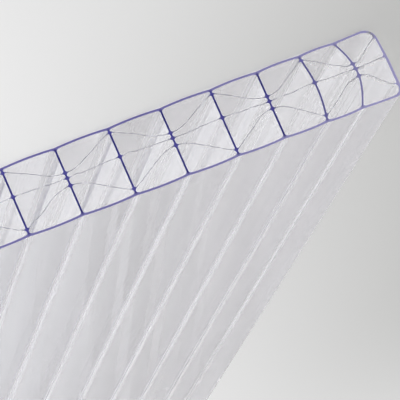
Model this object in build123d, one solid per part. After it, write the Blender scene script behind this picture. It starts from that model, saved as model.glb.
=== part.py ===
from build123d import *
from dataclasses import dataclass
from math import cos, hypot, pi, radians, sin, sqrt
import os

# A five-wall glazing sheet of extruded polycarbonate, lying flat with its channels along Y.
# Two skins are joined by upright webs. A middle wall and two diagonals cross every cell. The
# diagonals spread out to the skins at every second web, and close in on the middle wall at the
# webs between. The cells narrow towards the two closed side edges.
# Units are millimetres, +Z is up, and the origin is the middle of the underside.

# The sheet as it is sold
sheet_length = 2000.0
sheet_width = 980.0
sheet_thickness = 25.0

# Walls
skin_wall = 0.7
web_wall = 0.6
edge_wall = 0.9
thin_wall = 0.18

# Cells: widths inwards from a closed side edge, then equal cells near the pitch
edge_cell_widths = [15.4, 12.5, 15.1, 16.7, 17.9, 18.5]
cell_pitch = 18.9

# The two webs nearest a closed side edge bow towards it
first_web_bow = 3.8
second_web_bow = 1.6

# Heights at which the thin walls meet the webs
middle_wall_drop = 1.3
middle_wall_step = 0.5
upper_spread_depth = 2.6
lower_spread_height = 2.0
upper_close_rise = 2.6
lower_close_drop = 1.8
edge_spread_inset = 1.4

# Curved lines of the walls
diagonal_bulge = 0.14
skin_dip = 0.35
skin_dip_run = 5.0

# Closed side edge
upper_edge_radius = 3.0
lower_edge_radius = 4.5
lower_edge_lean = 0.6
upper_inner_radius = 2.4
lower_inner_radius = 4.0

# Gussets where walls meet
skin_gusset = 0.5
thin_gusset = 0.7

# Flat facets that stand for each curved line
diagonal_facets = 6
middle_wall_facets = 2
upright_facets = 4
corner_facets = 5


@dataclass
class Upright:
    """A web between the skins, or the wall of a closed side edge (facing is +1 at -X, -1 at +X)."""

    x: float
    wall: float
    bow: float
    spread: bool
    levels: list
    facing: int = 0

    def face(self, z, side):
        """X of the face on the -X side (side -1) or the +X side (side 1) at height z."""
        if not self.facing:
            return self.x + self.bow * sin(pi * z / sheet_thickness) + side * self.wall / 2
        inset = self.wall + edge_lean_at(z) + inner_round_at(z)
        return self.x + self.facing * inset

    def is_curved(self):
        """Whether the face needs more than one facet between two thin walls."""
        return bool(self.bow or self.facing)


def edge_lean_at(z):
    """Distance by which a closed side edge stands in from the full width at height z."""
    return lower_edge_lean * max(0.0, 1 - 2 * z / sheet_thickness)


def inner_round_at(z):
    """Extra wall inside a closed side edge at height z, from the rounds beside the skins."""
    over_floor = z - skin_wall
    under_roof = sheet_thickness - skin_wall - z
    extra = 0.0
    for height, radius in ((over_floor, lower_inner_radius), (under_roof, upper_inner_radius)):
        if height < radius:
            extra = radius - sqrt(radius**2 - (radius - max(height, 0.0)) ** 2)
    return extra


def thin_wall_levels(spread, inset=0.0):
    """Heights of the lower diagonal, middle wall and upper diagonal at one upright."""
    middle = sheet_thickness / 2 - middle_wall_drop
    if spread:
        lower = lower_spread_height + inset
        upper = sheet_thickness - upper_spread_depth - inset
        return [lower, middle - middle_wall_step, upper]
    return [middle - lower_close_drop, middle, middle + upper_close_rise]


def make_uprights():
    """All webs and both closed side edges, from -X to +X."""
    half_width = sheet_width / 2
    edge_run = sum(edge_cell_widths)
    inner_run = sheet_width - 2 * edge_run
    inner_cells = 2 * max(1, round(inner_run / (2 * cell_pitch)))
    widths = edge_cell_widths + [inner_run / inner_cells] * inner_cells + edge_cell_widths[::-1]
    bows = {1: -first_web_bow, 2: -second_web_bow}
    bows.update({len(widths) - index: -bow for index, bow in bows.items()})

    edge_levels = thin_wall_levels(True, edge_spread_inset)
    uprights = [Upright(-half_width, edge_wall, 0.0, True, edge_levels, 1)]
    x = -half_width
    for index, width in enumerate(widths[:-1], start=1):
        x += width
        spread = index % 2 == 0
        levels = thin_wall_levels(spread)
        uprights.append(Upright(x, web_wall, bows.get(index, 0.0), spread, levels))
    uprights.append(Upright(half_width, edge_wall, 0.0, True, edge_levels, -1))
    return uprights


def thin_face(left, right, number, side):
    """Upper (side 1) or lower (side -1) face of a thin wall, as (share across the cell, z).

    A diagonal leaves its spread end straight and flattens out towards the other end.
    """
    first, last = (left, right) if left.spread else (right, left)
    start = first.levels[number]
    rise = last.levels[number] - start
    span = right.x - left.x
    points = []
    facets = middle_wall_facets if number == 1 else diagonal_facets
    for step in range(facets + 1):
        run = step / facets
        centre = start + rise * (run + diagonal_bulge * sin(pi * run**2))
        slope = rise * (1 + 2 * pi * diagonal_bulge * run * cos(pi * run**2)) / span
        points.append((run, centre + side * thin_wall / 2 * hypot(1, slope)))
    if left.spread:
        return points
    return [(1 - run, z) for run, z in reversed(points)]


def skin_face(left, right, z, inwards):
    """Inner face of a skin across one cell, which dips inwards (1 up, -1 down) at each web."""
    span = right.x - left.x
    run = min(skin_dip_run, span / 3)
    points = []
    for upright, share, step in ((left, 0.0, run / span), (right, 1.0, -run / span)):
        dip = 0.0 if upright.facing else skin_dip * (1 - upright.wall / 2 / run)
        points.append((share, z + inwards * dip))
        points.append((share + step, z))
    return [points[0], points[1], points[3], points[2]]


def upright_side(left, right, share, start, end):
    """Points on the face of one upright between two heights, without the two ends."""
    upright = right if share else left
    steps = upright_facets if upright.is_curved() else 1
    heights = [start + (end - start) * step / steps for step in range(1, steps)]
    return [(share, z) for z in heights]


def cut_corner(before, corner, after, size):
    """The two ends of a straight gusset, where the gusset leaves most of each side."""
    ends = []
    for other in (before, after):
        length = hypot(other[0] - corner[0], other[1] - corner[1])
        share = min(size, 0.4 * length) / length
        ends.append((corner[0] + share * (other[0] - corner[0]),
                     corner[1] + share * (other[1] - corner[1])))
    return ends


def channel_outline(left, right, floor, roof, floor_gusset, roof_gusset):
    """Outline of one channel between two uprights, its floor and its roof, with its gussets."""
    right_side = upright_side(left, right, 1.0, floor[-1][1], roof[-1][1])
    left_side = upright_side(left, right, 0.0, roof[0][1], floor[0][1])
    shares = floor + right_side + roof[::-1] + left_side
    corners = {
        0: floor_gusset,
        len(floor) - 1: floor_gusset,
        len(floor) + len(right_side): roof_gusset,
        len(floor) + len(right_side) + len(roof) - 1: roof_gusset,
    }
    points = []
    for share, z in shares:
        start = left.face(z, 1)
        end = right.face(z, -1)
        points.append((start + share * (end - start), z))
    outline = []
    for index, point in enumerate(points):
        if index in corners:
            after = points[(index + 1) % len(points)]
            outline += cut_corner(points[index - 1], point, after, corners[index])
        else:
            outline.append(point)
    return outline


def cell_channels(left, right):
    """Outlines of the four channels of one cell, from the underside up."""
    floors = [skin_face(left, right, skin_wall, 1)]
    floors += [thin_face(left, right, number, 1) for number in range(3)]
    roofs = [thin_face(left, right, number, -1) for number in range(3)]
    roofs.append(skin_face(left, right, sheet_thickness - skin_wall, -1))
    floor_gussets = [skin_gusset, thin_gusset, thin_gusset, thin_gusset]
    roof_gussets = [thin_gusset, thin_gusset, thin_gusset, skin_gusset]
    rows = zip(floors, roofs, floor_gussets, roof_gussets)
    return [channel_outline(left, right, *row) for row in rows]


def round_corner(x, z, radius, start, turn=90):
    """Points along a round of an outer edge about the centre (x, z), with angles in degrees."""
    angles = [radians(start + turn * step / corner_facets) for step in range(corner_facets + 1)]
    return [(x + radius * cos(angle), z + radius * sin(angle)) for angle in angles]


def skin_outline(uprights, z, inwards):
    """Outer face of a skin from -X to +X, with its shallow dip over each web."""
    points = []
    for before, web, after in zip(uprights, uprights[1:], uprights[2:]):
        run_before = min(skin_dip_run, (web.x - before.x) / 3)
        run_after = min(skin_dip_run, (after.x - web.x) / 3)
        points += [(web.x - run_before, z), (web.x, z + inwards * skin_dip)]
        points.append((web.x + run_after, z))
    return points


def sheet_outline(uprights):
    """The whole outline of the section, anticlockwise from the lower -X corner."""
    half_width = sheet_width / 2
    foot = half_width - lower_edge_lean
    lower = lower_edge_radius
    upper = upper_edge_radius
    outline = round_corner(-foot + lower, lower, lower, 180)
    outline += skin_outline(uprights, 0.0, 1)
    outline += round_corner(foot - lower, lower, lower, 270)
    outline.append((half_width, sheet_thickness / 2))
    outline += round_corner(half_width - upper, sheet_thickness - upper, upper, 0)
    outline += skin_outline(uprights, sheet_thickness, -1)[::-1]
    outline += round_corner(-half_width + upper, sheet_thickness - upper, upper, 90)
    outline.append((-half_width, sheet_thickness / 2))
    return outline


def make_wire(outline):
    """Closed wire through the points of an outline."""
    return Wire.make_polygon([Vector(x, z) for x, z in outline], close=True)


def make_sheet():
    """The extruded sheet, one solid."""
    uprights = make_uprights()
    channels = []
    for left, right in zip(uprights, uprights[1:]):
        channels += cell_channels(left, right)
    section = Face(make_wire(sheet_outline(uprights)), [make_wire(line) for line in channels])
    cut_end = Plane.XZ.offset(-sheet_length / 2)
    sheet = extrude(cut_end * section, amount=sheet_length)
    sheet.label = "sheet"
    return sheet


os.makedirs("parts", exist_ok=True)
export_step(make_sheet(), "parts/sheet.step")
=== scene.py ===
"""Looks of a clear five-wall polycarbonate sheet that lies flat on a pale studio floor."""

import bisect
import logging
import math
import random
from dataclasses import dataclass, field
from enum import Enum
from typing import Any, Iterable, Sequence

import bpy
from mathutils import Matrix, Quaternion, Vector


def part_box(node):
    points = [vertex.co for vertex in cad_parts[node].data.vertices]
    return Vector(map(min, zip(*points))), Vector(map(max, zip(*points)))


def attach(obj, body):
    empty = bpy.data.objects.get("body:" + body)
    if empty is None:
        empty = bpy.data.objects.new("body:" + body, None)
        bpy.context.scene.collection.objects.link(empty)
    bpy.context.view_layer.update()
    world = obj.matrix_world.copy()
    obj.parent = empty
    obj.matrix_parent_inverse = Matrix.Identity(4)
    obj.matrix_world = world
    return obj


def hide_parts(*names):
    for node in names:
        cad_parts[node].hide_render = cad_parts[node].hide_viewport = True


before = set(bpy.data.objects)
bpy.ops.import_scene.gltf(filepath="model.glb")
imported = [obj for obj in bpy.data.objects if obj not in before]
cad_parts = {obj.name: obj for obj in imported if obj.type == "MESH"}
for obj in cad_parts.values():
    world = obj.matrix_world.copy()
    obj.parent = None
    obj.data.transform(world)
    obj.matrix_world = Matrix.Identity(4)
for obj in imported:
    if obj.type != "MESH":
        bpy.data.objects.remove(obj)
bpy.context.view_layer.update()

LOG = logging.getLogger("sheet")
MM = 0.001
ARC_STEPS = 10
LARGEST_TRIM = 0.45
WALLS_PASSED = 44
CLEAR_WALLS_PASSED = 64
DIFFUSE_PASSES = 3
Point = tuple[float, float]
Colour = tuple[float, float, float]


class Side(Enum):
    """Which face of a thin wall an outline follows."""

    LOWER = -1
    UPPER = 1


class Value:
    """A node socket that takes part in Python expressions and adds Math nodes for them."""

    def __init__(self, tree: "Tree", socket: bpy.types.NodeSocket) -> None:
        """Wrap one output socket of a tree."""
        self.tree = tree
        self.socket = socket

    def _math(self, operation: str, *terms: Any) -> "Value":
        """Add one Math node.

        Args:
            operation: The Math node's operation.
            terms: Values or numbers, in the node's order.

        Returns:
            The node's result.
        """
        inputs = dict(enumerate(terms))
        return self.tree.add("ShaderNodeMath", {"operation": operation}, inputs)

    def __add__(self, other: Any) -> "Value":
        """Sum."""
        return self._math("ADD", self, other)

    def __radd__(self, other: Any) -> "Value":
        """Sum with a number on the left."""
        return self._math("ADD", other, self)

    def __sub__(self, other: Any) -> "Value":
        """Difference."""
        return self._math("SUBTRACT", self, other)

    def __rsub__(self, other: Any) -> "Value":
        """Difference from a number on the left."""
        return self._math("SUBTRACT", other, self)

    def __mul__(self, other: Any) -> "Value":
        """Product."""
        return self._math("MULTIPLY", self, other)

    def __rmul__(self, other: Any) -> "Value":
        """Product with a number on the left."""
        return self._math("MULTIPLY", other, self)

    def __truediv__(self, other: Any) -> "Value":
        """Quotient."""
        return self._math("DIVIDE", self, other)

    def __pow__(self, other: Any) -> "Value":
        """Power."""
        return self._math("POWER", self, other)

    def __abs__(self) -> "Value":
        """Size without its sign."""
        return self._math("ABSOLUTE", self)

    def at_least(self, other: Any) -> "Value":
        """The larger of this and another value."""
        return self._math("MAXIMUM", self, other)

    def at_most(self, other: Any) -> "Value":
        """The smaller of this and another value."""
        return self._math("MINIMUM", self, other)

    def clamped(self) -> "Value":
        """The value held between 0 and 1."""
        return self.at_least(0.0).at_most(1.0)


class Tree:
    """A node tree with one method that adds any node."""

    def __init__(self, nodes: bpy.types.NodeTree) -> None:
        """Take over a tree and empty it."""
        self.nodes = nodes
        nodes.nodes.clear()

    def put(self, kind: str, settings: dict[str, Any], inputs: dict[Any, Any]) -> bpy.types.Node:
        """Add a node, its settings first and then its sockets.

        Args:
            kind: The node's type name.
            settings: Node attributes by name.
            inputs: Socket values, sockets or Values by socket name or index.

        Returns:
            The new node.
        """
        node = self.nodes.nodes.new(kind)
        for name, value in settings.items():
            setattr(node, name, value)
        for name, value in inputs.items():
            self._feed(node.inputs[name], value)
        return node

    def add(self, kind: str, settings: dict[str, Any], inputs: dict[Any, Any],
            output: Any = 0) -> Value:
        """Add a node and wrap one of its outputs.

        Args:
            kind: The node's type name.
            settings: Node attributes by name.
            inputs: Socket values, sockets or Values by socket name or index.
            output: Name or index of the output to wrap.

        Returns:
            The wrapped output.
        """
        return Value(self, self.put(kind, settings, inputs).outputs[output])

    def _feed(self, socket: bpy.types.NodeSocket, value: Any) -> None:
        """Link or set one input socket.

        Args:
            socket: The input socket.
            value: What it gets; a list feeds a socket that takes many links.
        """
        for item in value if isinstance(value, list) else [value]:
            if isinstance(item, Value):
                self.nodes.links.new(item.socket, socket)
            elif isinstance(item, bpy.types.NodeSocket):
                self.nodes.links.new(item, socket)
            else:
                socket.default_value = item


def axis(tree: Tree, place: Any, name: str) -> Value:
    """One coordinate of a place; the name is X, Y or Z."""
    return tree.add("ShaderNodeSeparateXYZ", {}, {"Vector": place}, name)


def smooth_range(tree: Tree, value: Value, start: float, end: float, first: float = 0.0,
                 last: float = 1.0) -> Value:
    """Pass smoothly from one number to another as a value rises.

    Args:
        tree: The tree to add to.
        value: The value that rises.
        start: Value at which the passage starts.
        end: Value at which it ends.
        first: Number at the start.
        last: Number at the end.

    Returns:
        The number.
    """
    return tree.add("ShaderNodeMapRange", {"interpolation_type": "SMOOTHSTEP"}, {
        "Value": value, "From Min": start, "From Max": end, "To Min": first, "To Max": last})


def colour_mix(tree: Tree, factor: Any, low: Any, high: Any) -> Value:
    """Blend two colours.

    Args:
        tree: The tree to add to.
        factor: Share of the second colour.
        low: Colour at 0, three numbers or a Value.
        high: Colour at 1, three numbers or a Value.

    Returns:
        The blended colour.
    """
    colours = [item if isinstance(item, Value) else (*item, 1.0) for item in (low, high)]
    settings = {"data_type": "RGBA", "clamp_factor": True}
    return tree.add("ShaderNodeMix", settings, {0: factor, 6: colours[0], 7: colours[1]}, 2)


def new_material(name: str) -> tuple[bpy.types.Material, Tree]:
    """Make an empty node material.

    Args:
        name: The material's name.

    Returns:
        The material and its tree.
    """
    material = bpy.data.materials.new(name)
    material.use_nodes = True
    return material, Tree(material.node_tree)


def attribute(tree: Tree, name: str) -> Value:
    """Number that the mesh stores at each of its points.

    Args:
        tree: The tree to add to.
        name: The attribute's name.

    Returns:
        The number.
    """
    return tree.add("ShaderNodeAttribute", {"attribute_name": name}, {}, "Fac")


def let_light_through(tree: Tree, shader: Value, passed: float) -> Value:
    """Let light from the surroundings and from the floor go straight through clear plastic.

    Args:
        tree: The material's tree.
        shader: The plastic's own shader.
        passed: Share of the light that one face lets through.

    Returns:
        The mixed shader.
    """
    path = tree.put("ShaderNodeLightPath", {}, {})
    for kind in ("Is Shadow Ray", "Is Diffuse Ray"):
        clear = tree.add("ShaderNodeBsdfTransparent", {}, {"Color": (passed, passed, passed, 1.0)})
        shader = tree.add("ShaderNodeMixShader", {}, {0: path.outputs[kind], 1: shader, 2: clear})
    return shader


@dataclass(frozen=True)
class ClearPolycarbonate:
    """Glossy extruded polycarbonate with faint die lines along the channels, a violet tint that
    carries painted shade, faint painted light of its own, and painted light in a matt grey on the
    rounded corners.
    """

    tint: Colour = (0.9985, 0.9975, 1.0)
    toned: Colour = (0.45, 0.43, 0.58)
    index: float = 1.585
    roughness: float = 0.015
    streak_roughness: float = 0.03
    streaks_per_metre: float = 260.0
    changes_per_metre: float = 0.6
    streak_detail: float = 3.0
    streak_strength: float = 0.5
    streak_depth: float = 0.00002
    smooth_up_to: float = 0.45
    painted_glow: Colour = (0.98, 0.96, 1.0)
    painted_glow_strength: float = 0.003
    clear: float = 0.995
    painted_light_grey: Colour = (0.885, 0.885, 0.92)
    edge_painted_shade_grey: Colour = (0.80, 0.79, 0.81)
    edge_shade_reach: float = 0.05
    edge_shade_gain: float = 1.4
    half_width: float = 0.49
    passed: float = 0.997

    def make(self) -> bpy.types.Material:
        """Build the material.

        Returns:
            The material.
        """
        material, tree = new_material("clear_polycarbonate")
        place = tree.add("ShaderNodeTexCoord", {}, {}, "Object")
        stretch = (self.streaks_per_metre, self.changes_per_metre, self.streaks_per_metre)
        along = tree.add("ShaderNodeMapping", {}, {"Vector": place, "Scale": stretch})
        lines = tree.add("ShaderNodeTexNoise", {}, {
            "Vector": along, "Scale": 1.0, "Detail": self.streak_detail})
        bump = tree.add("ShaderNodeBump", {}, {
            "Height": lines, "Strength": self.streak_strength, "Distance": self.streak_depth})
        uneven = (lines - self.smooth_up_to).at_least(0.0)
        rough = self.roughness + self.streak_roughness * uneven
        # Violet tint where the plastic is thicker, and painted shade on the upper skin: a dark line
        # beside each web and a ramp across each cell.
        base = colour_mix(tree, attribute(tree, "tone"), self.tint, self.toned)
        shader = tree.add("ShaderNodeBsdfPrincipled", {}, {
            "Base Color": base, "Roughness": rough, "IOR": self.index,
            "Transmission Weight": self.clear, "Normal": bump,
            # Painted light: the plastic gives off faint light of its own, which no lamp gives it.
            "Emission Color": (*self.painted_glow, 1.0),
            "Emission Strength": self.painted_glow_strength})
        material.cycles.emission_sampling = "NONE"
        # Painted shade: the corners' matt grey is darker near the two side edges.
        to_edge = 1.0 - (self.half_width - abs(axis(tree, place, "X"))) / self.edge_shade_reach
        painted_light_grey = colour_mix(tree, to_edge * self.edge_shade_gain, self.painted_light_grey, self.edge_painted_shade_grey)
        # Painted light: a matt grey on the rounded corners stands in for light that the walls carry
        # along the sheet.
        fillet_painted_light = tree.add("ShaderNodeBsdfPrincipled", {}, {
            "Base Color": painted_light_grey, "Roughness": 1.0, "Specular IOR Level": 0.0})
        shader = tree.add("ShaderNodeMixShader", {}, {
            0: attribute(tree, "haze"), 1: shader, 2: fillet_painted_light})
        shader = let_light_through(tree, shader, self.passed)
        tree.put("ShaderNodeOutputMaterial", {}, {"Surface": shader})
        return material


@dataclass(frozen=True)
class InnerFilm:
    """Very thin inner walls, which hardly show except where the saw has cut them."""

    tint: Colour = (0.99, 0.99, 0.995)
    index: float = 1.585
    roughness: float = 0.06
    seen: float = 0.03
    passed: float = 0.999

    def make(self) -> bpy.types.Material:
        """Build the material.

        Returns:
            The material.
        """
        material, tree = new_material("inner_film")
        shader = tree.add("ShaderNodeBsdfPrincipled", {}, {
            "Base Color": (*self.tint, 1.0), "Roughness": self.roughness, "IOR": self.index,
            "Transmission Weight": 1.0, "Alpha": self.seen})
        shader = let_light_through(tree, shader, self.passed)
        tree.put("ShaderNodeOutputMaterial", {}, {"Surface": shader})
        return material


@dataclass(frozen=True)
class SawnEnd:
    """Sawn cut through the walls, in opaque violet blues that stand in for light carried along the
    clear walls: painted light, paler towards the side edges and higher up as painted highlight.
    """

    skin: Colour = (0.16, 0.145, 0.40)
    web: Colour = (0.006, 0.006, 0.17)
    node: Colour = (0.06, 0.055, 0.34)
    film: Colour = (0.24, 0.24, 0.27)
    torn_film: Colour = (0.66, 0.66, 0.69)
    # Painted highlight colour near the side edges.
    pale: Colour = (0.46, 0.44, 0.72)
    roughness: float = 0.6
    specular: float = 0.25
    half_width: float = 0.49
    painted_highlight_run: float = 0.085
    painted_highlight_skin: float = 0.8
    painted_highlight_web: float = 1.6
    painted_highlight_web_from: float = 0.5
    top_painted_light: float = 4.0
    grain_scale: float = 900.0
    grain_strength: float = 0.4
    grain_depth: float = 0.0001
    spot_from: float = 0.35
    spot_share: float = 0.5
    spot_light: float = 1.7
    tear_scale: float = 420.0
    tear_from: float = 0.5
    tear_gain: float = 8.0

    def make(self) -> bpy.types.Material:
        """Build the material.

        Returns:
            The material.
        """
        material, tree = new_material("sawn_end")
        place = tree.add("ShaderNodeTexCoord", {}, {}, "Object")
        height = axis(tree, place, "Z")
        to_edge = 1.0 - (self.half_width - abs(axis(tree, place, "X"))) / self.painted_highlight_run
        grain = tree.add("ShaderNodeTexNoise", {}, {
            "Vector": place, "Scale": self.grain_scale, "Detail": 4.0})
        tears = tree.add("ShaderNodeTexNoise", {}, {
            "Vector": place, "Scale": self.tear_scale, "Detail": 2.0})
        # Painted highlight: the cut is paler near the side edges and higher up.
        edge_highlight_share = (to_edge * self.painted_highlight_skin).clamped()
        skin = colour_mix(tree, edge_highlight_share + height * self.top_painted_light, self.skin, self.pale)
        # Painted light: dark webs, lighter where the thin walls meet them.
        web = colour_mix(tree, attribute(tree, "node"), self.web, self.node)
        web = colour_mix(tree, (to_edge - self.painted_highlight_web_from) * self.painted_highlight_web, web, skin)
        solid = colour_mix(tree, attribute(tree, "web"), skin, web)
        tear_share = ((tears - self.tear_from) * self.tear_gain).clamped()
        film = colour_mix(tree, tear_share, self.film, self.torn_film)
        base = colour_mix(tree, attribute(tree, "film"), solid, film)
        # Lighter specks of the same painted light, at random.
        spots = tuple(self.spot_light * part for part in self.skin)
        spotted = colour_mix(tree, (grain - self.spot_from) * self.spot_share, base, spots)
        bump = tree.add("ShaderNodeBump", {}, {
            "Height": grain, "Strength": self.grain_strength, "Distance": self.grain_depth})
        shader = tree.add("ShaderNodeBsdfPrincipled", {}, {
            "Base Color": spotted, "Roughness": self.roughness,
            "Specular IOR Level": self.specular, "Normal": bump})
        tree.put("ShaderNodeOutputMaterial", {}, {"Surface": shader})
        return material


@dataclass(frozen=True)
class StudioFloor:
    """Pale matt floor with painted shade: it darkens evenly towards one side, a painted shadow lies
    around the sheet's lowest corner, and under the sheet it has painted light and shade.
    """

    light: Colour = (0.905, 0.905, 0.905)
    dark: Colour = (0.55, 0.55, 0.54)
    shade: float = 0.16
    shade_reach: float = 0.2
    plain_from: float = 0.5
    plain_to: float = 1.4
    painted_edge_shade: Colour = (0.66, 0.66, 0.66)
    painted_beneath: Colour = (0.96, 0.96, 0.96)
    edge_shade_from: float = 0.008
    edge_shade_to: float = 0.03
    soft_edge: float = 0.004
    roughness: float = 0.3

    def make(self, start: Vector, end: Vector, low: Vector, high: Vector) -> bpy.types.Material:
        """Build the material.

        Args:
            start: Point on the floor where the light colour ends.
            end: Point on the floor where the dark colour begins.
            low: The sheet's lowest corner, around which a painted shadow darkens the floor.
            high: The sheet's highest corner.

        Returns:
            The material.
        """
        material, tree = new_material("studio_floor")
        place = tree.add("ShaderNodeTexCoord", {}, {}, "Object")
        run = (end - start) / (end - start).length_squared
        offset = tree.add("ShaderNodeVectorMath", {"operation": "SUBTRACT"}, {0: place, 1: start})
        share = tree.add("ShaderNodeVectorMath", {"operation": "DOT_PRODUCT"}, {0: offset, 1: run},
                         "Value")
        away = tree.add("ShaderNodeVectorMath", {"operation": "DISTANCE"}, {0: place, 1: low},
                        "Value")
        # Painted shadow around the sheet's lowest corner, on painted shade that darkens the floor
        # towards one side.
        shade = smooth_range(tree, away, 0.0, self.shade_reach, self.shade, 0.0)
        local = smooth_range(tree, away, self.plain_from, self.plain_to, 1.0, 0.0)
        toned = (share + shade).clamped() * local
        open_floor = colour_mix(tree, toned, self.light, self.dark)
        # Under the sheet the floor is painted: painted shade close to its side edges, and painted
        # light, lighter than the open floor, further in.
        middle = (low + high) / 2
        inward = []
        for name, centre, side in (("X", middle.x, high.x), ("Y", middle.y, high.y)):
            inward.append((side - centre) - abs(axis(tree, place, name) - centre))
        covered = (inward[0].at_most(inward[1]) / self.soft_edge).clamped()
        further = smooth_range(tree, inward[0], self.edge_shade_from, self.edge_shade_to)
        painted_beneath = colour_mix(tree, further, self.painted_edge_shade, self.painted_beneath)
        base = colour_mix(tree, covered, open_floor, painted_beneath)
        shader = tree.add("ShaderNodeBsdfDiffuse", {}, {
            "Color": base, "Roughness": self.roughness})
        tree.put("ShaderNodeOutputMaterial", {}, {"Surface": shader})
        return material


@dataclass
class Upright:
    """A web, or the wall of a closed side edge (facing 1 at -X and -1 at +X), in millimetres."""

    x: float
    wall: float
    bow: float
    spread: bool
    levels: tuple[float, float, float]
    facing: int = 0


@dataclass
class Section:
    """The sheet's section in millimetres: outline and channels as closed loops of points."""

    width: float
    thickness: float
    skin_wall: float = 0.7
    web_wall: float = 0.66
    edge_wall: float = 0.9
    thin_wall: float = 0.18
    edge_cells: tuple[float, ...] = (15.4, 12.5, 15.1, 16.7, 17.9, 18.5)
    cell_pitch: float = 18.9
    first_web_bow: float = 3.8
    second_web_bow: float = 1.6
    middle_drop: float = 1.3
    middle_step: float = 0.5
    spread_depth: float = 2.6
    spread_height: float = 2.0
    close_rise: float = 2.6
    close_drop: float = 1.8
    edge_inset: float = 1.4
    bulge: float = 0.14
    skin_dip: float = 0.35
    edge_lean: float = 0.6
    edge_radii: tuple[float, float] = (4.5, 3.0)
    inner_radii: tuple[float, float] = (4.0, 2.4)
    skin_gusset: float = 0.8
    thin_gusset: float = 0.8
    gusset_reach: float = 1.8
    wave: float = 0.16
    jag: float = 0.07
    kink: float = 0.7
    kink_places: tuple[float, float] = (0.16, 0.84)
    kink_reach: float = 0.09
    wave_turns: tuple[int, ...] = (2, 3, 4)
    hold: float = 0.06
    wall_steps: int = 20
    web_steps: int = 6
    bowed_steps: int = 14
    round_steps: int = 4
    seed: int = 7
    uprights: list[Upright] = field(default_factory=list)

    def __post_init__(self) -> None:
        """Place the webs and side edges across the sheet."""
        half = self.width / 2
        inner_run = self.width - 2 * sum(self.edge_cells)
        count = 2 * max(1, round(inner_run / (2 * self.cell_pitch)))
        widths = [*self.edge_cells, *[inner_run / count] * count, *self.edge_cells[::-1]]
        bows = {1: -self.first_web_bow, 2: -self.second_web_bow}
        bows.update({len(widths) - index: -bow for index, bow in bows.items()})
        edge_levels = self._levels(True, self.edge_inset)
        self.uprights = [Upright(-half, self.edge_wall, 0.0, True, edge_levels, 1)]
        x = -half
        for index, width in enumerate(widths[:-1], start=1):
            x += width
            spread = index % 2 == 0
            levels = self._levels(spread, 0.0)
            self.uprights.append(Upright(x, self.web_wall, bows.get(index, 0.0), spread, levels))
        self.uprights.append(Upright(half, self.edge_wall, 0.0, True, edge_levels, -1))

    def _levels(self, spread: bool, inset: float) -> tuple[float, float, float]:
        """Heights of the three thin walls at one upright.

        Args:
            spread: Whether the diagonals spread out to the skins there.
            inset: Extra distance of the spread diagonals from the skins.

        Returns:
            Heights of the lower diagonal, the middle wall and the upper diagonal.
        """
        middle = self.thickness / 2 - self.middle_drop
        if spread:
            upper = self.thickness - self.spread_depth - inset
            return self.spread_height + inset, middle - self.middle_step, upper
        return middle - self.close_drop, middle, middle + self.close_rise

    def _lean(self, z: float) -> float:
        """Distance that a side edge stands in from the full width at height z."""
        return self.edge_lean * max(0.0, 1 - 2 * z / self.thickness)

    def _inner_round(self, z: float) -> float:
        """Extra wall inside a side edge, from the rounds beside the skins.

        Args:
            z: Height.

        Returns:
            How much thicker the wall is there.
        """
        rises = (z - self.skin_wall, self.thickness - self.skin_wall - z)
        extra = 0.0
        for rise, radius in zip(rises, self.inner_radii):
            if rise < radius:
                extra = radius - math.sqrt(radius**2 - (radius - max(rise, 0.0)) ** 2)
        return extra

    def _face(self, upright: Upright, z: float, side: int) -> float:
        """Place of one face of an upright.

        Args:
            upright: The web or side edge.
            z: Height.
            side: -1 or 1 for the web's face on that side; a side edge has only its inner face.

        Returns:
            The face's place across the sheet.
        """
        if upright.facing:
            inset = upright.wall + self._lean(z) + self._inner_round(z)
            return upright.x + upright.facing * inset
        bow = upright.bow * math.sin(math.pi * z / self.thickness)
        return upright.x + bow + side * upright.wall / 2

    def _thin_line(self, left: Upright, right: Upright, number: int, side: Side,
                   offsets: list[float]) -> list[Point]:
        """One face of a thin wall across a cell.

        A diagonal leaves its spread end straight and flattens out towards the other end.

        Args:
            left: Upright on the -X side.
            right: Upright on the +X side.
            number: 0 for the lower diagonal, 1 for the middle wall, 2 for the upper diagonal.
            side: Which face.
            offsets: Height that the wall stands off its even line, from -X on.

        Returns:
            Points as (share of the way across the cell, height).
        """
        first, last = (left, right) if left.spread else (right, left)
        start = first.levels[number]
        rise = last.levels[number] - start
        points = []
        for step, offset in enumerate(offsets):
            share = step / self.wall_steps
            run = share if left.spread else 1 - share
            turn = math.pi * run**2
            centre = start + rise * (run + self.bulge * math.sin(turn)) + offset
            steepness = rise * (1 + 2 * math.pi * self.bulge * run * math.cos(turn))
            slant = math.hypot(1, steepness / (right.x - left.x))
            points.append((share, centre + side.value * self.thin_wall / 2 * slant))
        return points

    def _unevenness(self, draw: random.Random) -> list[float]:
        """Heights by which one thin wall stands off its even line.

        Args:
            draw: Source of the random numbers.

        Returns:
            One height for each point of the wall; the two ends stay where they are.
        """
        wave = draw.uniform(-self.wave, self.wave)
        turns = draw.choice(self.wave_turns)
        kink = draw.choice((0.0, draw.uniform(-self.kink, self.kink)))
        kink_at = draw.choice(self.kink_places)
        offsets = []
        for step in range(self.wall_steps + 1):
            share = step / self.wall_steps
            hold = math.sin(math.pi * share)
            bend = max(0.0, 1 - abs(share - kink_at) / self.kink_reach)
            jag = draw.uniform(-self.jag, self.jag)
            offsets.append(hold * (wave * math.sin(math.pi * turns * share) + jag) + kink * bend)
        return offsets

    def _dip(self, left: Upright, right: Upright, share: float) -> float:
        """Distance that a skin dips below its crown.

        Args:
            left: Upright on the -X side.
            right: Upright on the +X side.
            share: Share of the way across the cell.

        Returns:
            The distance.
        """
        if left.facing:
            return self.skin_dip * share**2
        if right.facing:
            return self.skin_dip * (1 - share) ** 2
        return self.skin_dip * (2 * share - 1) ** 2

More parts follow.
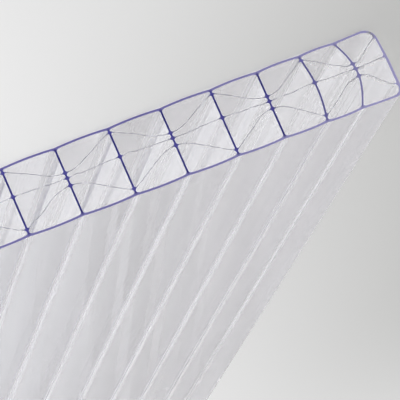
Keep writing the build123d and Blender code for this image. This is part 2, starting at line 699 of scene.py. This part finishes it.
    def _skin_line(self, left: Upright, right: Upright, top: bool) -> list[Point]:
        """Inner face of a skin across a cell.

        Args:
            left: Upright on the -X side.
            right: Upright on the +X side.
            top: Whether it is the upper skin.

        Returns:
            Points as (share of the way across the cell, height).
        """
        points = []
        for step in range(self.wall_steps + 1):
            share = eased(step, self.wall_steps)
            depth = self.skin_wall + self._dip(left, right, share)
            points.append((share, self.thickness - depth if top else depth))
        return points

    def wall_place(self, left: Upright, right: Upright, number: int, share: float) -> Point:
        """Point on the middle line of a thin wall, without its unevenness.

        Args:
            left: Upright on the -X side.
            right: Upright on the +X side.
            number: 0 for the lower diagonal, 1 for the middle wall, 2 for the upper diagonal.
            share: Share of the way across the cell.

        Returns:
            The point.
        """
        first, last = (left, right) if left.spread else (right, left)
        run = share if left.spread else 1 - share
        rise = last.levels[number] - first.levels[number]
        z = first.levels[number] + rise * (run + self.bulge * math.sin(math.pi * run**2))
        return self._place(left, right, share, z)

    def _upright_line(self, start: float, end: float, curved: bool) -> list[float]:
        """Heights along an upright between two thin walls, closer together near its ends."""
        steps = self.bowed_steps if curved else self.web_steps
        return [start + (end - start) * eased(step, steps) for step in range(steps + 1)]

    def channel(self, left: Upright, right: Upright, floor: list[Point], roof: list[Point],
                gussets: tuple[float, float]) -> list[Point]:
        """Outline of one channel with rounded gussets, clockwise.

        Args:
            left: Upright on the -X side.
            right: Upright on the +X side.
            floor: Wall face below, as (share, height).
            roof: Wall face above, as (share, height).
            gussets: Sizes of the gussets at the floor and at the roof.

        Returns:
            The closed loop's points.
        """
        curved = [bool(upright.bow or upright.facing) for upright in (left, right)]
        ups = self._upright_line(floor[-1][1], roof[-1][1], curved[1])
        downs = self._upright_line(roof[0][1], floor[0][1], curved[0])
        paths = [floor, [(1.0, z) for z in ups], roof[::-1], [(0.0, z) for z in downs]]
        sides = [[self._place(left, right, *point) for point in path] for path in paths]
        low, high = gussets
        reach = self.gusset_reach
        sizes = [(low, reach * low), (reach * low, low), (high, reach * high), (reach * high, high)]
        return rounded_loop(sides, sizes, self.round_steps, self.hold)[::-1]

    def _place(self, left: Upright, right: Upright, share: float, z: float) -> Point:
        """Point at a share of the way across a cell at height z."""
        start = self._face(left, z, 1)
        return start + share * (self._face(right, z, -1) - start), z

    def channels(self) -> list[list[Point]]:
        """Loops of all channels, cell by cell from -X and from the underside up.

        Returns:
            The loops.
        """
        draw = random.Random(self.seed)
        loops = []
        for left, right in zip(self.uprights, self.uprights[1:]):
            uneven = [self._unevenness(draw) for _ in range(3)]
            floors = [self._skin_line(left, right, False)]
            floors += [self._thin_line(left, right, n, Side.UPPER, uneven[n]) for n in range(3)]
            roofs = [self._thin_line(left, right, n, Side.LOWER, uneven[n]) for n in range(3)]
            roofs.append(self._skin_line(left, right, True))
            thin, skin = self.thin_gusset, self.skin_gusset
            gussets = [(skin, thin), (thin, thin), (thin, thin), (thin, skin)]
            for floor, roof, pair in zip(floors, roofs, gussets):
                loops.append(self.channel(left, right, floor, roof, pair))
        return loops

    def outline(self) -> list[Point]:
        """Outer outline, anticlockwise.

        Returns:
            The closed loop's points.
        """
        low, high = self.edge_radii
        half = self.width / 2
        foot = half - self.edge_lean
        crown = []
        for left, right in zip(self.uprights, self.uprights[1:]):
            start = left.x + (high + low if left.facing else 0.0)
            end = right.x - (high + low if right.facing else 0.0)
            for step in range(self.wall_steps):
                x = start + (end - start) * eased(step, self.wall_steps)
                share = (x - left.x) / (right.x - left.x)
                crown.append((x, self._dip(left, right, share)))
        points = arc(-foot + low, low, low, 180, 270) + crown
        points += arc(foot - low, low, low, 270, 360)
        points.append((half, self.thickness / 2))
        points += arc(half - high, self.thickness - high, high, 0, 90)
        points += [(x, self.thickness - dip) for x, dip in crown[::-1]]
        points += arc(-half + high, self.thickness - high, high, 90, 180)
        points.append((-half, self.thickness / 2))
        return points


@dataclass(frozen=True)
class Marks:
    """Rules that tell which part of the section a point belongs to, in millimetres."""

    section: Section
    foot_spread: float = 1.1
    foot_tone: float = 0.12
    clear_run: float = 45.0
    # Painted shade on the upper skin: a violet line beside each web and a ramp across the cell.
    line_place: float = -1.5
    line_spread: float = 1.1
    line_tint_and_shade: float = 0.12
    painted_shade_ramp: float = 0.12
    node_spread: float = 1.0
    film_start: float = 0.4
    film_run: float = 1.2
    skin_margin: float = 0.2
    edge_margin: float = 0.9
    edge_tone: float = 0.3
    # Painted light: shares of the matt grey on the rounded corners.
    low_painted_light: float = 0.85
    high_painted_light: float = 0.35
    edge_painted_light: float = 0.2
    painted_light_reach: float = 1.2
    painted_light_rise: float = 0.7
    painted_light_from: float = 0.9
    edge_painted_light_reach: float = 2.4
    fade_overlap: float = 0.004

    def at(self, x: float, z: float) -> dict[str, float]:
        """Shares of the section's parts at a point.

        Args:
            x: Place across the sheet.
            z: Height.

        Returns:
            Shares by name: film, web, node, the violet tint with painted shade, and the matt grey
                painted light on rounded corners.
        """
        section = self.section
        places = [upright.x for upright in section.uprights]
        after = bisect.bisect_left(places, x)
        near = min(section.uprights[max(0, after - 2):after + 2],
                   key=lambda upright: abs(self._off(upright, x, z)))
        off = abs(self._off(near, x, z))
        depth = min(z, section.thickness - z)
        in_skin = depth < section.skin_wall + section.skin_dip + self.skin_margin
        in_edge = bool(near.facing) and off < near.wall + self.edge_margin
        solid = in_skin or in_edge
        level = min(abs(z - level) for level in near.levels)
        inner = min(1.0, self.edge_tone + (section.width / 2 - abs(x)) / self.clear_run)
        return {
            "film": 0.0 if solid else min(1.0, max(0.0, (off - self.film_start) / self.film_run)),
            "web": 0.0 if solid or near.facing else 1.0,
            "node": math.exp(-(level / self.node_spread) ** 2),
            "tone": self._tone(-self._off(near, x, z), z) * inner if in_skin else 0.0,
            "haze": self._haze(near, off, z),
        }

    def _haze(self, near: Upright, off: float, z: float) -> float:
        """Matt grey on the rounded corners between a web or side edge and the skins: painted light.

        Args:
            near: The nearest upright.
            off: Distance from its middle.
            z: Height.

        Returns:
            Share of the matt grey painted light.
        """
        section = self.section
        depth = min(z, section.thickness - z)
        if near.facing:
            reach = self.edge_painted_light_reach
            return self.edge_painted_light * math.exp(-(off / reach) ** 2 - (depth / reach) ** 2)
        if depth < section.skin_wall * self.painted_light_from:
            return 0.0
        away = max(0.0, off - section.web_wall / 2) / self.painted_light_reach
        rise = max(0.0, depth - section.skin_wall - section.skin_dip) / self.painted_light_rise
        most = self.low_painted_light if z < section.thickness / 2 else self.high_painted_light
        return most * math.exp(-away**2 - rise**2)

    def _tone(self, past: float, z: float) -> float:
        """Violet of a skin beside a web: a tint where the plastic is thicker, with painted shade on
        the upper skin.

        Args:
            past: Distance past the nearest web, towards -X.
            z: Height.

        Returns:
            The violet tint with its painted shade, 0 for clear plastic.
        """
        if z < self.section.thickness / 2:
            return self.foot_tone * math.exp(-(past / self.foot_spread) ** 2)
        # Upper skin: the line beside the web and the ramp across the cell are painted shade of the
        # skin's bulges.
        share = past / self.section.cell_pitch
        line = math.exp(-((past - self.line_place) / self.line_spread) ** 2)
        shade_ramp = share if share > -self.fade_overlap else 1 + share
        return self.line_tint_and_shade * line + self.painted_shade_ramp * shade_ramp

    def _off(self, upright: Upright, x: float, z: float) -> float:
        """Distance of a point from the middle of an upright."""
        return x - upright.x - upright.bow * math.sin(math.pi * z / self.section.thickness)


def eased(step: int, steps: int) -> float:
    """Share of the way at one of some steps, which lie closer together near both ends."""
    return (1 - math.cos(math.pi * step / steps)) / 2


def arc(x: float, z: float, radius: float, start: float, end: float) -> list[Point]:
    """Points along an arc.

    Args:
        x: Centre across.
        z: Centre up.
        radius: The arc's radius.
        start: First angle in degrees.
        end: Last angle in degrees.

    Returns:
        The points.
    """
    turn = end - start
    angles = [math.radians(start + turn * step / ARC_STEPS) for step in range(ARC_STEPS + 1)]
    return [(x + radius * math.cos(angle), z + radius * math.sin(angle)) for angle in angles]


def between(a: Point, b: Point, share: float) -> Point:
    """Point at a share of the way from one point to another."""
    return a[0] + share * (b[0] - a[0]), a[1] + share * (b[1] - a[1])


def cut_start(path: list[Point], length: float) -> list[Point]:
    """A path without its first stretch.

    Args:
        path: The path's points.
        length: How much to cut.

    Returns:
        The points that are left, from the cut on.
    """
    for index, (a, b) in enumerate(zip(path, path[1:])):
        run = math.dist(a, b)
        if run > length:
            return [between(a, b, length / run), *path[index + 1:]]
        length -= run
    return path[-1:]


def rounded_loop(sides: list[list[Point]], sizes: Sequence[tuple[float, float]], steps: int,
                 hold: float) -> list[Point]:
    """Join the sides of a loop, with a round at each corner.

    Args:
        sides: The sides in order, each starting where the one before it ends.
        sizes: Lengths that each side's first corner takes from the side before and this side.
        steps: Straight pieces in each round.
        hold: Distance from a round at which a side gets one more point, for clean shading.

    Returns:
        The closed loop's points.
    """
    lengths = [sum(math.dist(a, b) for a, b in zip(side, side[1:])) for side in sides]
    trimmed = []
    for index, side in enumerate(sides):
        most = LARGEST_TRIM * lengths[index]
        path = cut_start(side, min(sizes[index][1], most))
        path = cut_start(path[::-1], min(sizes[(index + 1) % len(sides)][0], most))[::-1]
        held = cut_start(path, hold)
        held = cut_start(held[::-1], hold)[::-1]
        trimmed.append([path[0], *held, path[-1]])
    loop = []
    for index, path in enumerate(trimmed):
        before = trimmed[index - 1][-1]
        corner = sides[index][0]
        for step in range(1, steps):
            share = step / steps
            loop.append(between(between(before, corner, share), between(corner, path[0], share),
                                share))
        loop += path
    return loop


def new_object(name: str, data: bpy.types.ID) -> bpy.types.Object:
    """Object at the origin of the scene that holds a mesh or a camera."""
    made = bpy.data.objects.new(name, data)
    bpy.context.scene.collection.objects.link(made)
    return made


def group_sockets(tree: bpy.types.NodeTree, sizes: dict[str, float]) -> None:
    """Give a geometry tree its geometry sockets and named size inputs.

    Args:
        tree: The tree.
        sizes: Names and default values of the inputs.
    """
    tree.interface.new_socket("Geometry", in_out="INPUT", socket_type="NodeSocketGeometry")
    for name, value in sizes.items():
        socket = tree.interface.new_socket(name, in_out="INPUT", socket_type="NodeSocketFloat")
        socket.default_value = value
    tree.interface.new_socket("Geometry", in_out="OUTPUT", socket_type="NodeSocketGeometry")


def bake_tree(source: bpy.types.Object, group: bpy.types.NodeTree, values: dict[str, float],
              name: str) -> bpy.types.Object:
    """Run a geometry tree on an object and keep the result as a plain mesh.

    Args:
        source: The object that the tree reads; it is removed.
        group: The geometry tree.
        values: Input values by socket name.
        name: Name of the new object.

    Returns:
        The new object, with no modifier.
    """
    modifier = source.modifiers.new("build", "NODES")
    modifier.node_group = group
    for item in group.interface.items_tree:
        if item.in_out == "INPUT" and item.name in values:
            modifier[item.identifier] = values[item.name]
    graph = bpy.context.evaluated_depsgraph_get()
    mesh = bpy.data.meshes.new_from_object(source.evaluated_get(graph), depsgraph=graph)
    source.modifiers.clear()
    bpy.data.objects.remove(source)
    mesh.name = name
    if mesh.materials and mesh.materials[0] is None:
        mesh.materials.pop(index=0)
    return new_object(name, mesh)


@dataclass
class Sheet:
    """The extruded sheet: its section drawn once, filled and pulled to its length in a few runs."""

    low: Vector
    high: Vector
    section: Section
    runs: int = 4
    merge_within: float = 0.0005

    def build(self) -> bpy.types.Object:
        """Make the sheet's mesh and dress it.

        Returns:
            The finished piece.
        """
        size = (self.high - self.low) / MM
        section = self.section
        loops = [section.outline(), *section.channels()]
        wall = ClearPolycarbonate(half_width=size.x * MM / 2).make()
        cut = SawnEnd(half_width=size.x * MM / 2).make()
        group = self._tree(wall, cut)
        outlines = lines_object("section", loops, True)
        piece = bake_tree(outlines, group, {"Length": size.y}, "clear_sheet")
        self._mark(piece.data, Marks(section), InnerFilm().make())
        return piece

    def _mark(self, mesh: bpy.types.Mesh, marks: Marks, film: bpy.types.Material) -> None:
        """Store the marks at the mesh's points, and give the films their own material.

        Args:
            mesh: The sheet's mesh.
            marks: Rules for the marks.
            film: Material of the films.
        """
        middle = (self.low.x + self.high.x) / 2
        known: dict[Point, dict[str, float]] = {}
        rows = []
        for point in mesh.vertices:
            place = (round((point.co.x - middle) / MM, 3), round((point.co.z - self.low.z) / MM, 3))
            if place not in known:
                known[place] = marks.at(*place)
            rows.append(known[place])
        for name in rows[0]:
            layer = mesh.attributes.new(name, "FLOAT", "POINT")
            layer.data.foreach_set("value", [row[name] for row in rows])
        cut = mesh.materials.find("sawn_end")
        mesh.materials.append(film)
        for face in mesh.polygons:
            on_film = min(rows[index]["film"] for index in face.vertices) > 0.5
            if on_film and face.material_index != cut:
                face.material_index = len(mesh.materials) - 1

    def _tree(self, wall: bpy.types.Material, cut: bpy.types.Material) -> bpy.types.NodeTree:
        """Geometry tree that fills the section's loops and extrudes them.

        Args:
            wall: Material of the walls.
            cut: Material of the two sawn ends.

        Returns:
            The geometry tree.
        """
        group = bpy.data.node_groups.new("extruded_sheet", "GeometryNodeTree")
        tree = Tree(group)
        group_sockets(group, {"Length": 1.0})
        source = tree.put("NodeGroupInput", {}, {})
        length = Value(tree, source.outputs["Length"])
        curve = tree.add("GeometryNodeMeshToCurve", {}, {0: source.outputs["Geometry"]})
        face = tree.add("GeometryNodeFillCurve", {}, {"Curve": curve})
        pull = tree.add("ShaderNodeCombineXYZ", {}, {"Z": length / self.runs})
        body, end = face, True
        for _ in range(self.runs):
            pulled = tree.put("GeometryNodeExtrudeMesh", {"mode": "FACES"}, {
                "Mesh": body, "Selection": end, "Offset": pull, "Offset Scale": 1.0,
                "Individual": False})
            body, end = pulled.outputs["Mesh"], pulled.outputs["Top"]
        sides = tree.add("FunctionNodeBooleanMath", {"operation": "NOT"}, {0: end})
        marked = tree.add("GeometryNodeStoreNamedAttribute",
                          {"data_type": "BOOLEAN", "domain": "FACE"},
                          {"Geometry": body, "Name": "wall", "Value": sides})
        smooth = tree.add("GeometryNodeSetShadeSmooth", {}, {
            "Geometry": marked, "Selection": sides, "Shade Smooth": True})
        back = tree.add("GeometryNodeFlipFaces", {}, {"Mesh": face})
        joined = tree.add("GeometryNodeJoinGeometry", {}, {"Geometry": [smooth, back]})
        merged = tree.add("GeometryNodeMergeByDistance", {}, {
            "Geometry": joined, "Distance": self.merge_within})
        middle = tree.add("ShaderNodeCombineXYZ", {}, {"Y": length * (MM / 2)})
        laid = tree.add("GeometryNodeTransform", {}, {
            "Geometry": merged, "Translation": middle, "Rotation": (math.pi / 2, 0.0, 0.0),
            "Scale": (MM, MM, MM)})
        real = tree.add("GeometryNodeRealizeInstances", {}, {"Geometry": laid})
        is_wall = tree.add("GeometryNodeInputNamedAttribute", {"data_type": "BOOLEAN"},
                           {"Name": "wall"})
        dressed = tree.add("GeometryNodeSetMaterial", {}, {"Geometry": real, "Material": cut})
        dressed = tree.add("GeometryNodeSetMaterial", {}, {
            "Geometry": dressed, "Selection": is_wall, "Material": wall})
        tree.put("NodeGroupOutput", {}, {"Geometry": dressed})
        return group


def lines_object(name: str, lines: Iterable[list[Point]], closed: bool) -> bpy.types.Object:
    """Object that holds lines as edges in the XY plane.

    Args:
        name: The object's name.
        lines: The lines' points.
        closed: Whether each line ends where it starts.

    Returns:
        The object.
    """
    points = []
    edges = []
    for line in lines:
        first = len(points)
        points += [(x, z, 0.0) for x, z in line]
        edges += [(first + n, first + n + 1) for n in range(len(line) - 1)]
        if closed:
            edges.append((len(points) - 1, first))
    mesh = bpy.data.meshes.new(name)
    mesh.from_pydata(points, edges, [])
    return new_object(name, mesh)


@dataclass(frozen=True)
class TornFilmGlint:
    """Crinkled film that the saw has torn, white all over as painted glints where clear film would
    catch the light.
    """

    base: Colour = (0.93, 0.93, 0.95)
    roughness: float = 0.35
    crinkle_scale: float = 4000.0
    crinkle_strength: float = 0.6
    crinkle_depth: float = 0.0001

    def make(self) -> bpy.types.Material:
        """Build the material.

        Returns:
            The material.
        """
        material, tree = new_material("torn_film")
        place = tree.add("ShaderNodeTexCoord", {}, {}, "Object")
        crinkle = tree.add("ShaderNodeTexNoise", {}, {
            "Vector": place, "Scale": self.crinkle_scale})
        bump = tree.add("ShaderNodeBump", {}, {
            "Height": crinkle, "Strength": self.crinkle_strength,
            "Distance": self.crinkle_depth})
        shader = tree.add("ShaderNodeBsdfPrincipled", {}, {
            "Base Color": (*self.base, 1.0), "Roughness": self.roughness, "Normal": bump})
        tree.put("ShaderNodeOutputMaterial", {}, {"Surface": shader})
        return material


@dataclass
class SawFlakes:
    """Curled flakes of torn film along the cut walls near the two closed side edges, and long white
    ribbons along the channels near the corners that are painted reflection.
    """

    low: Vector
    high: Vector
    section: Section
    cells: int = 3
    reach: float = 40.0
    spacing: float = 0.9
    chance: float = 0.8
    length: float = 2.4
    width: float = 0.5
    thickness: float = 0.06
    curl: float = 0.35
    strip_chance: float = 0.7
    strip_length: float = 22.0
    strip_height: float = 8.0
    flake_fall: float = 2.0
    strip_fall: float = 6.0
    tilt: float = 0.5
    smallest: tuple[float, float, float] = (0.6, 0.6, 0.3)
    largest: tuple[float, float, float] = (1.3, 1.3, 1.5)
    wall_parts: int = 12
    depth: float = 1.3
    seed: int = 4

    def build(self) -> bpy.types.Object:
        """Make the flakes at the front cut.

        Returns:
            The finished piece.
        """
        values = {"Spacing": self.spacing, "Chance": self.chance, "Length": self.length,
                  "Width": self.width, "Thickness": self.thickness, "Curl": self.curl,
                  "Strip Chance": self.strip_chance, "Strip Length": self.strip_length}
        group = self._tree(TornFilmGlint().make())
        lines = lines_object("film_lines", self._lines(), False)
        return bake_tree(lines, group, values, "saw_flakes")

    def _lines(self) -> list[list[Point]]:
        """Middle lines of the thin walls in the cells nearest the side edges.

        Returns:
            The points of each line.
        """
        uprights = self.section.uprights
        pairs = list(zip(uprights, uprights[1:]))
        rows = []
        for left, right in pairs[:self.cells] + pairs[-self.cells:]:
            for number in range(3):
                rows.append([self.section.wall_place(left, right, number, part / self.wall_parts)
                             for part in range(1, self.wall_parts)])
        return rows

    def _tree(self, material: bpy.types.Material) -> bpy.types.NodeTree:
        """Geometry tree that puts flakes, and long white ribbons of painted reflection, at some of
        the points along the lines.

        Args:
            material: The flakes' material.

        Returns:
            The geometry tree.
        """
        group = bpy.data.node_groups.new("saw_flakes", "GeometryNodeTree")
        tree = Tree(group)
        names = ("Spacing", "Chance", "Length", "Width", "Thickness", "Curl", "Strip Chance",
                 "Strip Length")
        group_sockets(group, dict.fromkeys(names, 1.0))
        source = tree.put("NodeGroupInput", {}, {})
        size = {name: Value(tree, source.outputs[name]) for name in names}
        curve = tree.add("GeometryNodeMeshToCurve", {}, {0: source.outputs["Geometry"]})
        points = tree.put("GeometryNodeCurveToPoints", {"mode": "LENGTH"}, {
            "Curve": curve, "Length": size["Spacing"]})
        half = size["Length"] * 0.5
        flake = self._ribbon(tree, size, half * -1.0, half)
        # Long white ribbons along the channels stand in for bright streaks reflected from the
        # corner: painted reflection.
        reflection_strip = self._ribbon(tree, size, size["Strip Length"] * -1.0, half * 0.0)
        place = tree.add("GeometryNodeInputPosition", {}, {})
        half_width = (self.high.x - self.low.x) / (2 * MM)
        near = (1.0 - (half_width - abs(axis(tree, place, "X"))) / self.reach).at_least(0.0)
        at_corner = (self.strip_height - axis(tree, place, "Y")).clamped()
        chosen = tree.add("FunctionNodeRandomValue", {"data_type": "BOOLEAN"}, {
            "Probability": size["Chance"] * near ** self.flake_fall, "Seed": self.seed}, 3)
        spin = tree.add("FunctionNodeRandomValue", {"data_type": "FLOAT_VECTOR"}, {
            0: (-self.tilt, -self.tilt, -math.pi), 1: (self.tilt, self.tilt, math.pi),
            "Seed": self.seed + 1})
        spin = tree.add("FunctionNodeEulerToRotation", {}, {0: spin})
        turned = tree.add("FunctionNodeRotateRotation", {"rotation_space": "LOCAL"}, {
            0: points.outputs["Rotation"], 1: spin})
        stretch = tree.add("FunctionNodeRandomValue", {"data_type": "FLOAT_VECTOR"}, {
            0: self.smallest, 1: self.largest, "Seed": self.seed + 2})
        placed = tree.add("GeometryNodeInstanceOnPoints", {}, {
            "Points": points.outputs["Points"], "Selection": chosen, "Instance": flake,
            "Rotation": turned, "Scale": stretch})
        picked = tree.add("FunctionNodeRandomValue", {"data_type": "BOOLEAN"}, {
            "Probability": size["Strip Chance"] * near ** self.strip_fall * at_corner,
            "Seed": self.seed + 3}, 3)
        reflection_strips = tree.add("GeometryNodeInstanceOnPoints", {}, {
            "Points": points.outputs["Points"], "Selection": picked, "Instance": reflection_strip,
            "Scale": stretch})
        placed = tree.add("GeometryNodeJoinGeometry", {}, {"Geometry": [placed, reflection_strips]})
        inside = (0.0, self.low.y + self.depth * MM, self.low.z)
        laid = tree.add("GeometryNodeTransform", {}, {
            "Geometry": placed, "Translation": inside, "Rotation": (math.pi / 2, 0.0, 0.0),
            "Scale": (MM, MM, MM)})
        real = tree.add("GeometryNodeRealizeInstances", {}, {"Geometry": laid})
        dressed = tree.add("GeometryNodeSetMaterial", {}, {"Geometry": real, "Material": material})
        tree.put("NodeGroupOutput", {}, {"Geometry": dressed})
        return group

    @staticmethod
    def _ribbon(tree: Tree, size: dict[str, Value], start: Value, end: Value) -> Value:
        """Add a curved ribbon of film along Z.

        Args:
            tree: The geometry tree.
            size: The tree's sizes by name.
            start: Height of the ribbon's first end.
            end: Height of its other end.

        Returns:
            The ribbon's mesh.
        """
        first = tree.add("ShaderNodeCombineXYZ", {}, {"Z": start})
        bend = tree.add("ShaderNodeCombineXYZ", {}, {
            "X": size["Curl"], "Y": size["Curl"] * 0.6, "Z": (start + end) * 0.5})
        last = tree.add("ShaderNodeCombineXYZ", {}, {"Z": end})
        spine = tree.add("GeometryNodeCurveQuadraticBezier", {}, {
            "Resolution": 5, "Start": first, "Middle": bend, "End": last})
        profile = tree.add("GeometryNodeCurvePrimitiveQuadrilateral", {}, {
            "Width": size["Width"], "Height": size["Thickness"]})
        return tree.add("GeometryNodeCurveToMesh", {}, {
            "Curve": spine, "Profile Curve": profile, "Fill Caps": True})


@dataclass(frozen=True)
class PhotoView:
    """Long-lens view down on one corner of the sheet, with the picture turned upside down."""

    in_from_edge: float = 0.35503
    in_front: float = 1.13481
    above_top: float = 0.247
    bearing: float = 13.736
    dip: float = 11.537
    roll: float = 156.148
    lens: float = 332.84
    sensor: float = 36.0
    clip: tuple[float, float] = (0.05, 100.0)

    def make(self, low: Vector, high: Vector) -> None:
        """Place the camera.

        Args:
            low: The sheet's lowest corner.
            high: The sheet's highest corner.
        """
        data = bpy.data.cameras.new("photo_view")
        data.lens = self.lens
        data.sensor_width = self.sensor
        data.clip_start, data.clip_end = self.clip
        camera = new_object("photo_view", data)
        camera.location = (low.x + self.in_from_edge, low.y - self.in_front,
                           high.z + self.above_top)
        level = math.radians(self.dip)
        bearing = math.radians(self.bearing)
        aim = Vector((-math.sin(bearing) * math.cos(level), math.cos(bearing) * math.cos(level),
                      -math.sin(level)))
        turn = Quaternion((0.0, 0.0, 1.0), math.radians(self.roll))
        camera.rotation_mode = "QUATERNION"
        camera.rotation_quaternion = aim.to_track_quat("-Z", "Y") @ turn
        bpy.context.scene.camera = camera


@dataclass(frozen=True)
class Studio:
    """Pale floor and soft, even light from all around."""

    bright: Colour = (0.745, 0.74, 0.755)
    dim: Colour = (0.46, 0.46, 0.465)
    dim_from: float = 0.13
    dim_to: float = 0.36
    light: float = 0.92
    floor_drop: float = 0.0004
    floor_reach: float = 30.0
    shade_start: tuple[float, float] = (0.138, 0.08)
    shade_end: tuple[float, float] = (-0.0278, 0.1153)

    def make(self, low: Vector, high: Vector) -> None:
        """Build the floor and the world.

        Args:
            low: The sheet's lowest corner.
            high: The sheet's highest corner.
        """
        self._floor(low, high)
        self._world()

    def _floor(self, low: Vector, high: Vector) -> None:
        """Lay the floor just under the sheet, with a painted shadow beside the sheet's lowest
        corner.

        Args:
            low: The sheet's lowest corner.
            high: The sheet's highest corner.
        """
        reach = self.floor_reach
        level = low.z - self.floor_drop
        corners = [(-reach, -reach, level), (reach, -reach, level), (reach, reach, level),
                   (-reach, reach, level)]
        mesh = bpy.data.meshes.new("floor")
        mesh.from_pydata(corners, [], [(0, 1, 2, 3)])
        start, end = (Vector((low.x + inwards, low.y - in_front, 0.0))
                      for inwards, in_front in (self.shade_start, self.shade_end))
        mesh.materials.append(StudioFloor().make(start, end, low, high))
        floor = new_object("floor", mesh)

    def _world(self) -> None:
        """Light the scene evenly, and show clear plastic the same pale surroundings."""
        world = bpy.data.worlds.new("studio")
        world.use_nodes = True
        bpy.context.scene.world = world
        tree = Tree(world.node_tree)
        path = tree.put("ShaderNodeLightPath", {}, {})
        seen = Value(tree, path.outputs["Is Camera Ray"])
        seen = seen.at_least(Value(tree, path.outputs["Is Glossy Ray"]))
        seen = seen.at_least(Value(tree, path.outputs["Is Transmission Ray"]))
        lit = (self.light, self.light, self.light)
        heading = tree.add("ShaderNodeTexCoord", {}, {}, "Generated")
        share = smooth_range(tree, abs(axis(tree, heading, "X")), self.dim_from, self.dim_to)
        around = colour_mix(tree, share, self.bright, self.dim)
        colour = colour_mix(tree, seen, lit, around)
        background = tree.add("ShaderNodeBackground", {}, {"Color": colour, "Strength": 1.0})
        tree.put("ShaderNodeOutputWorld", {}, {"Surface": background})


def set_light_paths() -> None:
    """Let light pass through all the walls of the sheet and back, with an even sampling pattern."""
    cycles = bpy.context.scene.cycles
    cycles.max_bounces = cycles.transmission_bounces = cycles.glossy_bounces = WALLS_PASSED
    cycles.diffuse_bounces = DIFFUSE_PASSES
    cycles.transparent_max_bounces = CLEAR_WALLS_PASSED
    cycles.sampling_pattern = "TABULATED_SOBOL"


def main() -> None:
    """Build the sheet, the studio and the camera."""
    logging.basicConfig(level=logging.INFO, format="%(name)s: %(message)s")
    low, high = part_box("sheet")
    size = (high - low) / MM
    section = Section(width=size.x, thickness=size.z)
    for maker in (Sheet(low, high, section), SawFlakes(low, high, section)):
        piece = maker.build()
        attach(piece, "root")
        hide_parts("sheet")
        LOG.info("%s: %d faces", piece.name, len(piece.data.polygons))
    Studio().make(low, high)
    PhotoView().make(low, high)
    set_light_paths()
    bpy.context.scene.view_settings.view_transform = "Standard"


if __name__ == "__main__":
    main()
